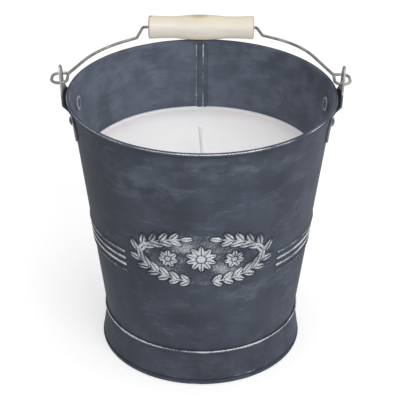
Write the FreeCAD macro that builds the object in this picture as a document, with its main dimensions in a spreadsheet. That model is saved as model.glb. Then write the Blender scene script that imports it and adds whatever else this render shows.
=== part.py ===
import FreeCAD, Part
import math
import os

import Sketcher
from FreeCAD import Placement, Rotation, Vector

# Citronella candle bucket: a tapered sheet-metal bucket on a flared foot, filled with wax round one
# wick, with a wire bail that swings in two riveted ears and a turned wooden grip on the bail.
# Frame: origin at the middle of the foot's rim plane, +Z up, -Y the ornamented front, +Y the seam.
# The bail is modelled lying back, with the grip on the rim at +Y. Millimetres throughout.

# Driving dimensions
SIZES = {
    # rolled rim and tapered wall
    "sheet": 0.6,
    "rim_radius": 99.6,
    "rim_height": 209.7,
    "curl_radius": 1.8,
    "curl_opening": 60.0,
    "waist_radius": 75.4,
    "waist_height": 28.3,
    "lap_seam_width": 7.0,
    "lap_seam_depth": 1.1,
    "lap_seam_drop": 6.0,
    # rolled beads round the wall
    "bead_top_height": 111.9,
    "bead_pitch": 6.0,
    "bead_half_width": 1.7,
    "bead_height": 0.9,
    "bead_sweep": 277.0,
    # waist seam, bottom and foot
    "seam_flange": 0.9,
    "seam_play": 0.1,
    "lip_gap": 0.4,
    "panel_inset": 11.4,
    "panel_rise": 2.0,
    "foot_flare": 3.8,
    "hem_height": 3.4,
    "hem_width": 1.9,
    "hem_bulge": 0.5,
    # ears
    "ear_thickness": 1.2,
    "ear_play": 0.1,
    "ear_tongue_width": 16.0,
    "ear_tongue_top": 22.6,
    "ear_tongue_lean": 3.5,
    "ear_rim_gap": 2.0,
    "ear_shoulder_top": 6.0,
    "ear_step_height": -3.0,
    "ear_step_fall": 4.0,
    "ear_wing_half": 31.0,
    "ear_wing_top": -6.0,
    "ear_wing_bottom": -29.0,
    "ear_hole_radius": 3.0,
    "ear_hole_height": 9.9,
    # rivets
    "rivet_radius": 1.9,
    "rivet_play": 0.1,
    "rivet_drop": 15.0,
    "rivet_spread": 9.0,
    "rivet_inner_head": 6.0,
    "rivet_inner_thick": 1.3,
    "rivet_outer_head": 4.0,
    "rivet_outer_thick": 1.8,
    "rivet_seat": 0.25,
    # bail
    "wire_radius": 1.15,
    "eye_half_width": 5.8,
    "eye_length": 16.4,
    "eye_offset": 1.0,
    "eye_sag": 1.5,
    "eye_tip_gap": 0.4,
    "arm_foot_inset": 0.4,
    "arm_foot_bend": 2.6,
    "crank_bend": 2.4,
    "left_shoulder_inset": 18.8,
    "left_shoulder_bend": 90.0,
    "left_leg_drop": 21.0,
    "left_crank_depth": 20.5,
    "left_crank_slant": 4.1,
    "left_crank_gap": 4.5,
    "right_shoulder_inset": 21.2,
    "right_shoulder_bend": 68.0,
    "right_leg_drop": 16.6,
    "right_crank_depth": 14.8,
    "right_crank_slant": 4.2,
    "right_crank_gap": 2.4,
    "bail_shift": -0.9,
    # grip
    "grip_length": 84.4,
    "grip_middle_radius": 10.1,
    "grip_barrel_half": 17.0,
    "grip_barrel_rise": 1.0,
    "grip_neck_drop": 0.35,
    "grip_end_radius": 9.35,
    "grip_end_round": 1.6,
    "grip_bore_play": 0.35,
    "grip_rest_gap": 0.3,
    "grip_inset": 0.1,
    # wax, wick and the tab that holds it
    "wax_drop": 54.8,
    "wax_gap": 0.2,
    "wax_meniscus": 1.4,
    "wax_meniscus_width": 3.0,
    "wax_lip": 0.3,
    "wick_radius": 1.3,
    "wick_free": 29.0,
    "tab_radius": 14.0,
    "tab_thickness": 0.5,
    "tab_collar_height": 7.0,
    "tab_collar_wall": 0.5,
    "tab_play": 0.1,
}

BEADS = 4

document = FreeCAD.newDocument("CandleBucket")
sheet = document.addObject("Spreadsheet::Sheet", "Sizes")
for row, (alias, dimension) in enumerate(SIZES.items(), start=1):
    sheet.set(f"A{row}", alias.replace("_", " "))
    sheet.set(f"B{row}", str(dimension))
    sheet.setAlias(f"B{row}", alias)
document.recompute()


def number(expression):
    """The value that a formula over the sheet's cells has now."""
    return float(sheet.evalExpression(expression))


# Formulas shared by the pieces that meet each other

TOP_OUTER = "(Sizes.rim_radius - Sizes.curl_radius + Sizes.sheet)"
TAPER = f"(({TOP_OUTER} - Sizes.waist_radius) / (Sizes.rim_height - Sizes.waist_height))"
FLANGE_EDGE = "(Sizes.waist_radius + Sizes.seam_flange)"
SEAM_EDGE = f"({FLANGE_EDGE} + Sizes.seam_play + Sizes.sheet)"
WAX_LEVEL = "(Sizes.rim_height - Sizes.wax_drop)"
PANEL_TOP = "(Sizes.waist_height + Sizes.panel_rise)"
PANEL_EDGE = "(Sizes.waist_radius - Sizes.panel_inset)"
FOOT_EDGE = "(Sizes.waist_radius + Sizes.foot_flare)"
BAIL_HEIGHT = "(Sizes.rim_height + Sizes.ear_hole_height - Sizes.eye_sag)"
EAR_FACE = "(Sizes.rim_radius + Sizes.curl_radius + Sizes.ear_rim_gap + Sizes.ear_thickness)"


def wall_outside(height):
    """Radius of the wall's outer face at a height."""
    return f"(Sizes.waist_radius + (({height}) - Sizes.waist_height) * {TAPER})"


def wall_inside(height):
    return f"({wall_outside(height)} - Sizes.sheet)"


# Sketching helpers


def add_body(label):
    body = document.addObject("PartDesign::Body", label)
    body.Label = label
    return body


def add_sketch(body, name, plane):
    """A sketch on one of the body's own origin planes."""
    sketch = body.newObject("Sketcher::SketchObject", name)
    for datum in body.Origin.OriginFeatures:
        if datum.Role == plane:
            sketch.AttachmentSupport = [(datum, "")]
    sketch.MapMode = "FlatFace"
    return sketch


def arc_between(start, end, radius, side, large):
    """Arc from start to end; side is 1 for counter-clockwise and -1 for clockwise."""
    half = (end - start) * 0.5
    offset = math.sqrt(max(radius**2 - half.Length**2, 0.0))
    normal = Vector(-half.y, half.x, 0).normalize()
    centre = start + half + normal * (offset * side * (-1 if large else 1))
    first, last = (start, end) if side > 0 else (end, start)
    angles = [math.atan2(point.y - centre.y, point.x - centre.x) for point in (first, last)]
    circle = Part.Circle(centre, Vector(0, 0, 1), radius)
    return Part.ArcOfCircle(circle, angles[0], angles[1])


def draw_outline(sketch, corners):
    """Closed outline. A corner is (x, y), or (x, y, radius, side, large) where an arc leads on."""
    points = [Vector(number(corner[0]), number(corner[1]), 0) for corner in corners]
    count = len(corners)
    ends = []
    for index, corner in enumerate(corners):
        start, end = points[index], points[(index + 1) % count]
        if len(corner) == 2:
            geometry = sketch.addGeometry(Part.LineSegment(start, end))
            ends.append((geometry, 1, 2))
            continue
        radius, side, large = corner[2:]
        arc = arc_between(start, end, number(radius), side, large)
        geometry = sketch.addGeometry(arc)
        ends.append((geometry, 1, 2) if side > 0 else (geometry, 2, 1))
        bend = sketch.addConstraint(Sketcher.Constraint("Radius", geometry, number(radius)))
        sketch.setExpression(f"Constraints[{bend}]", radius)
    for index, corner in enumerate(corners):
        geometry, start, end = ends[index]
        following, next_start, _ = ends[(index + 1) % count]
        sketch.addConstraint(Sketcher.Constraint("Coincident", geometry, end, following, next_start))
        for kind, formula, value in (
            ("DistanceX", corner[0], points[index].x),
            ("DistanceY", corner[1], points[index].y),
        ):
            place = sketch.addConstraint(Sketcher.Constraint(kind, -1, 1, geometry, start, value))
            sketch.setExpression(f"Constraints[{place}]", formula)


def draw_circle(sketch, x, y, radius):
    centre = Vector(number(x), number(y), 0)
    circle = sketch.addGeometry(Part.Circle(centre, Vector(0, 0, 1), number(radius)))
    for kind, formula, value in (("DistanceX", x, centre.x), ("DistanceY", y, centre.y)):
        place = sketch.addConstraint(Sketcher.Constraint(kind, -1, 1, circle, 3, value))
        sketch.setExpression(f"Constraints[{place}]", formula)
    size = sketch.addConstraint(Sketcher.Constraint("Radius", circle, number(radius)))
    sketch.setExpression(f"Constraints[{size}]", radius)


def revolve(body, sketch, name, angle=None, cut=False, axis="V_Axis"):
    """Full turn, or a turn of the angle formula, half of it each side of the sketch."""
    kind = "PartDesign::Groove" if cut else "PartDesign::Revolution"
    feature = body.newObject(kind, name)
    feature.Profile = sketch
    feature.ReferenceAxis = (sketch, [axis])
    feature.Angle = 360.0
    if angle:
        feature.Midplane = True
        feature.setExpression("Angle", angle)
    body.Tip = feature
    document.recompute()
    return feature


def pad(body, sketch, name, length):
    feature = body.newObject("PartDesign::Pad", name)
    feature.Profile = sketch
    feature.Midplane = True
    feature.setExpression("Length", length)
    body.Tip = feature
    document.recompute()
    return feature


def pocket_through(body, sketch, name):
    feature = body.newObject("PartDesign::Pocket", name)
    feature.Profile = sketch
    feature.Type = "ThroughAll"
    feature.Midplane = True
    body.Tip = feature
    document.recompute()
    return feature


def moved(thing, base, rotation):
    thing.Placement = Placement(base, rotation)
    return thing


# Rivets stand square to the tapered wall, at these places


def wall_slope():
    return math.degrees(math.atan(number(TAPER)))


def rivet_turns():
    """Bearings of the four rivets round the bucket, by node name."""
    spread = number("Sizes.rivet_spread")
    return {
        "right_front_rivet": -spread,
        "right_back_rivet": spread,
        "left_back_rivet": 180 - spread,
        "left_front_rivet": 180 + spread,
    }


def rivet_placement(bearing):
    """Rivet frame: +X out along the rivet, origin on the wall's outer face."""
    height = "Sizes.rim_height - Sizes.rivet_drop"
    radius = number(wall_outside(height))
    spin = Rotation(Vector(0, 0, 1), bearing)
    tilt = Rotation(Vector(0, 1, 0), wall_slope())
    base = spin.multVec(Vector(radius, 0, number(height)))
    return Placement(base, spin.multiply(tilt))


def rivet_drill(name, bearing):
    """Cylinder of the rivet hole, through the wall and the ear."""
    reach = "(Sizes.rivet_inner_head + Sizes.rivet_outer_head)"
    drill = document.addObject("Part::Cylinder", name)
    drill.setExpression("Radius", "Sizes.rivet_radius + Sizes.rivet_play")
    drill.setExpression("Height", f"2 * {reach}")
    frame = rivet_placement(bearing)
    along = Rotation(Vector(0, 1, 0), 90)
    base = frame.multVec(Vector(-number(reach), 0, 0))
    drill.Placement = Placement(base, frame.Rotation.multiply(along))
    return drill


def cut_away(label, base, tools):
    """The base less all the tools, as one labelled sub-part."""
    group = document.addObject("Part::MultiFuse", label + "_tools")
    group.Shapes = tools
    cut = document.addObject("Part::Cut", label)
    cut.Base = base
    cut.Tool = group
    cut.Label = label
    return cut


# Wall: one tapered sheet, rolled outward at the rim and flanged at the waist


def make_wall_sheet():
    body = add_body("wall_sheet")
    rim = "Sizes.rim_height"
    waist = "Sizes.waist_height"
    end_x = "cos(180 + Sizes.curl_opening)"
    end_z = "sin(180 + Sizes.curl_opening)"
    profile = add_sketch(body, "wall_profile", "XZ_Plane")
    inner_curl = "(Sizes.curl_radius - Sizes.sheet)"
    draw_outline(
        profile,
        [
            (wall_inside(waist), waist),
            (FLANGE_EDGE, waist),
            (FLANGE_EDGE, f"{waist} + Sizes.sheet"),
            (wall_outside(f"{waist} + Sizes.sheet"), f"{waist} + Sizes.sheet"),
            (TOP_OUTER, rim, inner_curl, -1, True),
            (f"Sizes.rim_radius + {inner_curl} * {end_x}", f"{rim} + {inner_curl} * {end_z}"),
            (
                f"Sizes.rim_radius + Sizes.curl_radius * {end_x}",
                f"{rim} + Sizes.curl_radius * {end_z}",
                "Sizes.curl_radius",
                1,
                True,
            ),
            ("Sizes.rim_radius - Sizes.curl_radius", rim),
        ],
    )
    revolve(body, profile, "wall_turn")
    add_beads(body)
    add_lap_seam(body)
    return body


def add_lap_seam(body):
    """The folded seam that closes the wall, a flat strip down the inside at the back."""
    top = "Sizes.rim_height - Sizes.lap_seam_drop"
    foot = "Sizes.waist_height + Sizes.panel_rise + 2 * Sizes.sheet"
    bite = "Sizes.sheet / 2"
    strip = add_sketch(body, "lap_seam_profile", "YZ_Plane")
    corners = []
    for height, depth in ((foot, 1), (foot, 0), (top, 0), (top, 1)):
        inset = "- Sizes.lap_seam_depth" if depth else f"+ {bite}"
        corners.append((f"{wall_inside(height)} {inset}", height))
    draw_outline(strip, corners)
    angle = f"Sizes.lap_seam_width / {TOP_OUTER} * 180 / pi"
    revolve(body, strip, "lap_seam", angle)
    filling = add_sketch(body, "lap_seam_filling_profile", "YZ_Plane")
    for index in range(BEADS):
        middle = f"(Sizes.bead_top_height - {index} * Sizes.bead_pitch)"
        bead_outline(filling, middle, wall_inside, bite)
    revolve(body, filling, "lap_seam_filling", angle)


def bead_outline(sketch, middle, face, bite):
    """One bead's section: an arch on the given wall face."""
    half = "Sizes.bead_half_width"
    rise = "Sizes.bead_height"
    radius = f"(({half} ^ 2 + {rise} ^ 2) / (2 * {rise}))"
    low, high = f"({middle} - {half})", f"({middle} + {half})"
    draw_outline(
        sketch,
        [
            (f"{face(low)} - {bite}", low),
            (face(low), low, radius, 1, False),
            (face(high), high),
            (f"{face(high)} - {bite}", high),
        ],
    )


def add_beads(body):
    """Rolled beads, proud outside and hollow inside, that stop short of the ornament."""
    ridges = add_sketch(body, "bead_ridges", "YZ_Plane")
    hollows = add_sketch(body, "bead_hollows", "YZ_Plane")
    for index in range(BEADS):
        middle = f"(Sizes.bead_top_height - {index} * Sizes.bead_pitch)"
        bead_outline(ridges, middle, wall_outside, "Sizes.sheet / 2")
        bead_outline(hollows, middle, wall_inside, "Sizes.sheet / 2")
    revolve(body, ridges, "beads_out", "Sizes.bead_sweep")
    revolve(body, hollows, "beads_in", "Sizes.bead_sweep", cut=True)


def make_bucket_wall():
    drills = [rivet_drill(f"wall_{name}_drill", turn) for name, turn in rivet_turns().items()]
    return cut_away("bucket_wall", make_wall_sheet(), drills)


# Bottom and foot, folded together with the wall's flange at the waist


def make_bottom_disc():
    body = add_body("bottom_disc")
    profile = add_sketch(body, "disc_profile", "XZ_Plane")
    low = "Sizes.waist_height - Sizes.sheet"
    high = "Sizes.waist_height"
    step = f"{PANEL_EDGE} + Sizes.panel_rise"
    draw_outline(
        profile,
        [
            ("0", f"{low} + Sizes.panel_rise"),
            (PANEL_EDGE, f"{low} + Sizes.panel_rise"),
            (step, low),
            (FLANGE_EDGE, low),
            (FLANGE_EDGE, high),
            (step, high),
            (PANEL_EDGE, f"{high} + Sizes.panel_rise"),
            ("0", f"{high} + Sizes.panel_rise"),
        ],
    )
    revolve(body, profile, "disc_turn")
    return body


def make_foot_ring():
    """Flared skirt: its top edge wraps the waist flanges, its bottom edge is rolled to a hem."""
    body = add_body("foot_ring")
    profile = add_sketch(body, "foot_profile", "XZ_Plane")
    waist = "Sizes.waist_height"
    lip = "Sizes.waist_radius + Sizes.lip_gap"
    wrap = f"{FLANGE_EDGE} + Sizes.seam_play"
    hem_inside = f"{FOOT_EDGE} - Sizes.hem_width"
    hem_face = f"{FOOT_EDGE} - Sizes.hem_bulge"
    hem_curve = "((Sizes.hem_height / 2) ^ 2 + Sizes.hem_bulge ^ 2) / (2 * Sizes.hem_bulge)"
    skirt_top = "Sizes.waist_radius"
    draw_outline(
        profile,
        [
            (lip, f"{waist} + Sizes.sheet"),
            (wrap, f"{waist} + Sizes.sheet"),
            (wrap, f"{waist} - Sizes.sheet"),
            (f"{skirt_top} - Sizes.sheet", f"{waist} - Sizes.sheet"),
            (hem_inside, "Sizes.hem_height"),
            (hem_inside, "0"),
            (hem_face, "0", hem_curve, 1, False),
            (hem_face, "Sizes.hem_height"),
            (f"{hem_inside} + Sizes.sheet", "Sizes.hem_height"),
            (skirt_top, f"{waist} - 2 * Sizes.sheet"),
            (SEAM_EDGE, f"{waist} - 2 * Sizes.sheet"),
            (SEAM_EDGE, f"{waist} + 2 * Sizes.sheet"),
            (lip, f"{waist} + 2 * Sizes.sheet"),
        ],
    )
    revolve(body, profile, "foot_turn")
    return body


# Ears: stamped plates that follow the wall, step out past the rolled rim and carry the bail


def make_ear(label, bearing, rivets):
    body = add_body(label + "_plate")
    add_ear_band(body, label)
    trim_ear(body, label)
    hinge = add_sketch(body, label + "_hole", "YZ_Plane")
    draw_circle(hinge, "0", "Sizes.rim_height + Sizes.ear_hole_height", "Sizes.ear_hole_radius")
    pocket_through(body, hinge, label + "_hinge_hole")
    moved(body, Vector(0, 0, 0), Rotation(Vector(0, 0, 1), bearing))
    turns = rivet_turns()
    drills = [rivet_drill(f"{label}_{name}_drill", turns[name]) for name in rivets]
    return cut_away(label, body, drills)


def add_ear_band(body, label):
    """The ear's side profile, turned about the bucket's axis and wider than the wings."""
    rim = "Sizes.rim_height"
    thick = "Sizes.ear_thickness"
    play = "Sizes.ear_play"
    low = f"{rim} + Sizes.ear_wing_bottom"
    step = f"{rim} + Sizes.ear_step_height"
    root = f"{step} - Sizes.ear_step_fall"
    half = f"{thick} / 2"
    bend = f"{root} + {half}"
    top = f"{rim} + Sizes.ear_tongue_top"
    lean = "tan(Sizes.ear_tongue_lean)"
    step_face = f"({EAR_FACE} + Sizes.ear_step_height * {lean})"
    top_face = f"({EAR_FACE} + Sizes.ear_tongue_top * {lean})"
    side = add_sketch(body, label + "_side", "XZ_Plane")
    draw_outline(
        side,
        [
            (f"{wall_outside(low)} + {play}", low),
            (f"{wall_outside(low)} + {play} + {thick}", low),
            (f"{wall_outside(root)} + {play} + {thick}", root),
            (step_face, step),
            (top_face, top),
            (f"{top_face} - {thick}", top),
            (f"{step_face} - {thick}", f"{step} + {half}"),
            (f"{wall_outside(bend)} + {play}", bend),
        ],
    )
    half_angle = f"asin((Sizes.ear_wing_half + 2 * {thick}) / {wall_inside(low)})"
    revolve(body, side, label + "_band", f"2 * {half_angle}")


def trim_ear(body, label):
    """Cuts away what lies outside the ear's outline: round wings, sloping shoulders, round tongue."""
    low = "(Sizes.rim_height + Sizes.ear_wing_bottom)"
    high = "(Sizes.rim_height + Sizes.ear_wing_top)"
    shoulder = "(Sizes.rim_height + Sizes.ear_shoulder_top)"
    top = "(Sizes.rim_height + Sizes.ear_tongue_top)"
    end = f"(({high} - {low}) / 2)"
    straight = f"(Sizes.ear_wing_half - {end})"
    tongue = "(Sizes.ear_tongue_width / 2)"
    margin = "Sizes.ear_wing_half"
    trim = add_sketch(body, label + "_outline", "YZ_Plane")
    draw_outline(
        trim,
        [
            (straight, low, end, 1, False),
            ("Sizes.ear_wing_half", f"({low} + {high}) / 2", end, 1, False),
            (straight, high),
            (tongue, shoulder),
            (tongue, f"{top} - {tongue}", tongue, 1, False),
            ("0", top, tongue, 1, False),
            (f"-{tongue}", f"{top} - {tongue}"),
            (f"-{tongue}", shoulder),
            (f"-{straight}", high, end, 1, False),
            ("-Sizes.ear_wing_half", f"({low} + {high}) / 2", end, 1, False),
            (f"-{straight}", low),
        ],
    )
    draw_outline(
        trim,
        [
            (f"-(Sizes.ear_wing_half + {margin})", f"{low} - {margin}"),
            (f"Sizes.ear_wing_half + {margin}", f"{low} - {margin}"),
            (f"Sizes.ear_wing_half + {margin}", f"{top} + {margin}"),
            (f"-(Sizes.ear_wing_half + {margin})", f"{top} + {margin}"),
        ],
    )
    pocket_through(body, trim, label + "_trim")


# Rivets: broad low head inside the wall, domed head outside the ear


def make_rivet(label, bearing):
    body = add_body(label)
    profile = add_sketch(body, label + "_profile", "XZ_Plane")
    grip_out = "Sizes.ear_play + Sizes.ear_thickness + Sizes.seam_play"
    grip_in = "Sizes.sheet + Sizes.rivet_seat"
    shank = "Sizes.rivet_radius"
    outer, outer_thick = "Sizes.rivet_outer_head", "Sizes.rivet_outer_thick"
    inner, inner_thick = "Sizes.rivet_inner_head", "Sizes.rivet_inner_thick"
    dome = f"(({outer} ^ 2 + {outer_thick} ^ 2) / (2 * {outer_thick}))"
    draw_outline(
        profile,
        [
            (f"-({grip_in}) - {inner_thick}", "0"),
            (f"{grip_out} + {outer_thick}", "0", dome, 1, False),
            (grip_out, outer),
            (grip_out, shank),
            (f"-({grip_in})", shank),
            (f"-({grip_in})", inner, inner_thick, 1, False),
            (f"-({grip_in}) - {inner_thick}", f"{inner} - {inner_thick}"),
        ],
    )
    revolve(body, profile, label + "_turn", axis="H_Axis")
    body.Placement = rivet_placement(bearing)
    return body


# Bail: one wire, eye to eye, cranked beside the grip


def bail_lie():
    """Slope of the lying bail and its length, from the ears' holes to the grip on the rim."""
    reach = number("Sizes.grip_middle_radius + Sizes.curl_radius + Sizes.grip_rest_gap")
    inset = number("Sizes.grip_inset")
    back = number("Sizes.rim_radius") - inset
    rise = math.sqrt(reach**2 - inset**2)
    height = number("Sizes.rim_height") + rise - number(BAIL_HEIGHT)
    return math.atan2(height, back), math.hypot(height, back)


def rounded_wire(points, radii):
    """Straight runs joined by tangent arcs; one radius for each inner point."""
    edges = []
    last = points[0]
    for index, radius in enumerate(radii, start=1):
        corner = points[index]
        before = (points[index - 1] - corner).normalize()
        after = (points[index + 1] - corner).normalize()
        turn = math.pi - before.getAngle(after)
        cut = radius * math.tan(turn / 2)
        start = corner + before * cut
        end = corner + after * cut
        bisector = (before + after).normalize()
        middle = corner + bisector * (radius / math.cos(turn / 2) - radius)
        if (start - last).Length > 1e-6:
            edges.append(Part.LineSegment(last, start).toShape())
        edges.append(Part.Arc(start, middle, end).toShape())
        last = end
    edges.append(Part.LineSegment(last, points[-1]).toShape())
    return Part.Wire(edges)


def bail_side(name, side):
    """Corners and bend radii from the grip outward to the eye, then the tip that closes the eye."""
    half = number("Sizes.eye_half_width")
    length = number("Sizes.eye_length")
    reach = number(f"{EAR_FACE} + Sizes.eye_offset")
    bend = number("Sizes.crank_bend")
    back = bail_lie()[1]
    crank = number(f"Sizes.grip_length / 2 + Sizes.{name}_crank_gap")
    leg_reach = crank + number(f"Sizes.{name}_crank_slant")
    leg_back = back - number(f"Sizes.{name}_crank_depth")
    arm_foot = reach - half - number("Sizes.arm_foot_inset")
    shoulder_reach = arm_foot - number(f"Sizes.{name}_shoulder_inset")
    shoulder_back = leg_back - number(f"Sizes.{name}_leg_drop")
    corners = [
        (crank, back, bend),
        (leg_reach, leg_back, bend),
        (shoulder_reach, shoulder_back, number(f"Sizes.{name}_shoulder_bend")),
        (arm_foot, length, number("Sizes.arm_foot_bend")),
        (reach + half, length, half),
        (reach + half, 0.0, half),
        (reach - half, 0.0, half),
    ]
    points = [Vector(side * x, y, 0) for x, y, _ in corners]
    tip_back = length - number("Sizes.wire_radius + Sizes.eye_tip_gap")
    tip = Vector(side * (reach - half), tip_back, 0)
    return points, [radius for _, _, radius in corners], tip


def make_bail():
    left = bail_side("left", -1)
    right = bail_side("right", 1)
    points = [left[2]] + left[0][::-1] + right[0] + [right[2]]
    radii = left[1][::-1] + right[1]
    path = rounded_wire(points, radii)
    start = path.Edges[0]
    circle = Part.Circle(start.Vertexes[0].Point, start.tangentAt(0), number("Sizes.wire_radius"))
    section = Part.Wire([circle.toShape()])
    spine = document.addObject("Part::Feature", "bail_path")
    spine.Shape = path
    ring = document.addObject("Part::Feature", "bail_section")
    ring.Shape = section
    wire = document.addObject("Part::Sweep", "bail_wire")
    wire.Sections = [ring]
    wire.Spine = (spine, [])
    wire.Solid = True
    wire.Frenet = False
    wire.Label = "bail_wire"
    tilt = Rotation(Vector(1, 0, 0), math.degrees(bail_lie()[0]))
    moved(wire, Vector(number("Sizes.bail_shift"), 0, number(BAIL_HEIGHT)), tilt)
    return wire


def make_grip():
    """Turned grip: barrel in the middle, two necks, flared ends with rounded edges."""
    body = add_body("wooden_grip")
    profile = add_sketch(body, "grip_profile", "XZ_Plane")
    half = "Sizes.grip_barrel_half"
    rise = "Sizes.grip_barrel_rise"
    middle = "Sizes.grip_middle_radius"
    barrel = f"(({half} ^ 2 + {rise} ^ 2) / (2 * {rise}))"
    neck_curve = f"(Sizes.grip_neck_drop / (1 - cos(asin({half} / {barrel}))))"
    neck_x = f"({half} + {neck_curve} * {half} / {barrel})"
    neck = f"({middle} - {rise} - Sizes.grip_neck_drop)"
    end_x = "(Sizes.grip_length / 2)"
    soft = "Sizes.grip_end_round"
    flare_x = f"({end_x} - {soft})"
    flare_rise = f"(Sizes.grip_end_radius - {neck})"
    flare = f"((({flare_x} - {neck_x}) ^ 2 + {flare_rise} ^ 2) / (2 * {flare_rise}))"
    bore = "Sizes.wire_radius + Sizes.grip_bore_play"
    draw_outline(
        profile,
        [
            (f"-{end_x}", bore),
            (end_x, bore),
            (end_x, f"Sizes.grip_end_radius - {soft}", soft, 1, False),
            (flare_x, "Sizes.grip_end_radius", flare, -1, False),
            (neck_x, neck, neck_curve, -1, False),
            (half, f"{middle} - {rise}", barrel, 1, False),
            (f"-{half}", f"{middle} - {rise}", neck_curve, -1, False),
            (f"-{neck_x}", neck, flare, -1, False),
            (f"-{flare_x}", "Sizes.grip_end_radius", soft, 1, False),
            (f"-{end_x}", f"Sizes.grip_end_radius - {soft}"),
        ],
    )
    revolve(body, profile, "grip_turn", axis="H_Axis")
    angle, distance = bail_lie()
    place = Vector(
        number("Sizes.bail_shift"),
        distance * math.cos(angle),
        number(BAIL_HEIGHT) + distance * math.sin(angle),
    )
    moved(body, place, Rotation())
    return body


# Wax, wick and wick tab


def make_wax():
    """Poured wax: it fills the wall down to the bottom, with a low meniscus at the wall."""
    body = add_body("wax_fill")
    profile = add_sketch(body, "wax_profile", "XZ_Plane")
    gap = "Sizes.wax_gap"
    level = WAX_LEVEL
    climb = "Sizes.wax_meniscus"
    width = "Sizes.wax_meniscus_width"
    lip = "Sizes.wax_lip"
    curve = f"(({width} ^ 2 + {climb} ^ 2) / (2 * {climb}))"
    edge = f"{level} + {climb}"
    step = f"{PANEL_EDGE} + Sizes.panel_rise"
    bore = "Sizes.wick_radius + Sizes.tab_play"
    tab_top = f"{PANEL_TOP} + Sizes.tab_thickness + Sizes.tab_play"
    collar = "Sizes.wick_radius + Sizes.tab_play + Sizes.tab_collar_wall + Sizes.tab_play"
    collar_top = f"{PANEL_TOP} + Sizes.tab_collar_height + Sizes.tab_play"
    tab = "Sizes.tab_radius + Sizes.tab_play"
    draw_outline(
        profile,
        [
            (bore, collar_top),
            (collar, collar_top),
            (collar, tab_top),
            (tab, tab_top),
            (tab, PANEL_TOP),
            (f"{PANEL_EDGE} + {gap}", PANEL_TOP),
            (f"{step} + {gap}", "Sizes.waist_height"),
            (f"{wall_inside('Sizes.waist_height')} - {gap}", "Sizes.waist_height"),
            (f"{wall_inside(edge)} - {gap}", edge),
            (f"{wall_inside(edge)} - {gap} - {lip}", edge, curve, -1, False),
            (f"{wall_inside(edge)} - {gap} - {lip} - {width}", level),
            (bore, level),
        ],
    )
    revolve(body, profile, "wax_turn")
    slot = add_sketch(body, "wax_slot_profile", "YZ_Plane")
    corners = []
    for height, depth in (
        ("Sizes.waist_height - Sizes.sheet", 1),
        ("Sizes.waist_height - Sizes.sheet", 0),
        (f"{level} + 2 * {climb}", 0),
        (f"{level} + 2 * {climb}", 1),
    ):
        inset = f"- Sizes.lap_seam_depth - {gap}" if depth else "+ Sizes.sheet"
        corners.append((f"{wall_inside(height)} {inset}", height))
    draw_outline(slot, corners)
    angle = f"(Sizes.lap_seam_width + 4 * {gap}) / {TOP_OUTER} * 180 / pi"
    revolve(body, slot, "wax_slot", angle, cut=True)
    return body


def make_wick():
    """Straight wick from the tab's collar to its free end above the wax."""
    body = add_body("wick")
    profile = add_sketch(body, "wick_profile", "XZ_Plane")
    foot = f"{PANEL_TOP} + Sizes.tab_thickness"
    top = f"{WAX_LEVEL} + Sizes.wick_free"
    soft = "Sizes.wick_radius / 2"
    draw_outline(
        profile,
        [
            ("0", foot),
            ("Sizes.wick_radius", foot),
            ("Sizes.wick_radius", f"{top} - {soft}", soft, 1, False),
            (f"Sizes.wick_radius - {soft}", top),
            ("0", top),
        ],
    )
    revolve(body, profile, "wick_turn")
    return body


def make_wick_tab():
    """Pressed tab under the wax: a flat disc with a collar round the wick's foot."""
    body = add_body("wick_tab")
    profile = add_sketch(body, "tab_profile", "XZ_Plane")
    base = PANEL_TOP
    bore = "Sizes.wick_radius + Sizes.tab_play"
    draw_outline(
        profile,
        [
            ("0", base),
            ("Sizes.tab_radius", base),
            ("Sizes.tab_radius", f"{base} + Sizes.tab_thickness"),
            (f"{bore} + Sizes.tab_collar_wall", f"{base} + Sizes.tab_thickness"),
            (f"{bore} + Sizes.tab_collar_wall", f"{base} + Sizes.tab_collar_height"),
            (bore, f"{base} + Sizes.tab_collar_height"),
            (bore, f"{base} + Sizes.tab_thickness"),
            ("0", f"{base} + Sizes.tab_thickness"),
        ],
    )
    revolve(body, profile, "tab_turn")
    return body


def check_document():
    """Stops if any object failed or any shape is empty or invalid."""
    for thing in document.Objects:
        if "Invalid" in thing.State or "Error" in thing.State:
            raise RuntimeError(f"{thing.Label} failed: {thing.State}")


def export(sub_parts):
    os.makedirs("parts", exist_ok=True)
    for sub_part in sub_parts:
        shape = sub_part.Shape
        if shape.isNull() or not shape.isValid() or not shape.Solids:
            raise RuntimeError(f"{sub_part.Label} has no valid solid")
        box = shape.BoundBox
        print(
            f"{sub_part.Label:20s} solids {len(shape.Solids)} volume {shape.Volume:10.1f} "
            f"x {box.XMin:7.1f} {box.XMax:7.1f} y {box.YMin:7.1f} {box.YMax:7.1f} "
            f"z {box.ZMin:6.1f} {box.ZMax:6.1f}"
        )
    for sub_part in sub_parts:
        sub_part.Shape.exportStep(f"parts/{sub_part.Label}.step")


def main():
    sub_parts = [
        make_bucket_wall(),
        make_bottom_disc(),
        make_foot_ring(),
        make_ear("right_ear", 0, ["right_front_rivet", "right_back_rivet"]),
        make_ear("left_ear", 180, ["left_front_rivet", "left_back_rivet"]),
        make_bail(),
        make_grip(),
        make_wax(),
        make_wick(),
        make_wick_tab(),
    ]
    sub_parts += [make_rivet(name, turn) for name, turn in rivet_turns().items()]
    document.recompute()
    check_document()
    export(sub_parts)


main()
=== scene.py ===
import math

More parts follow.
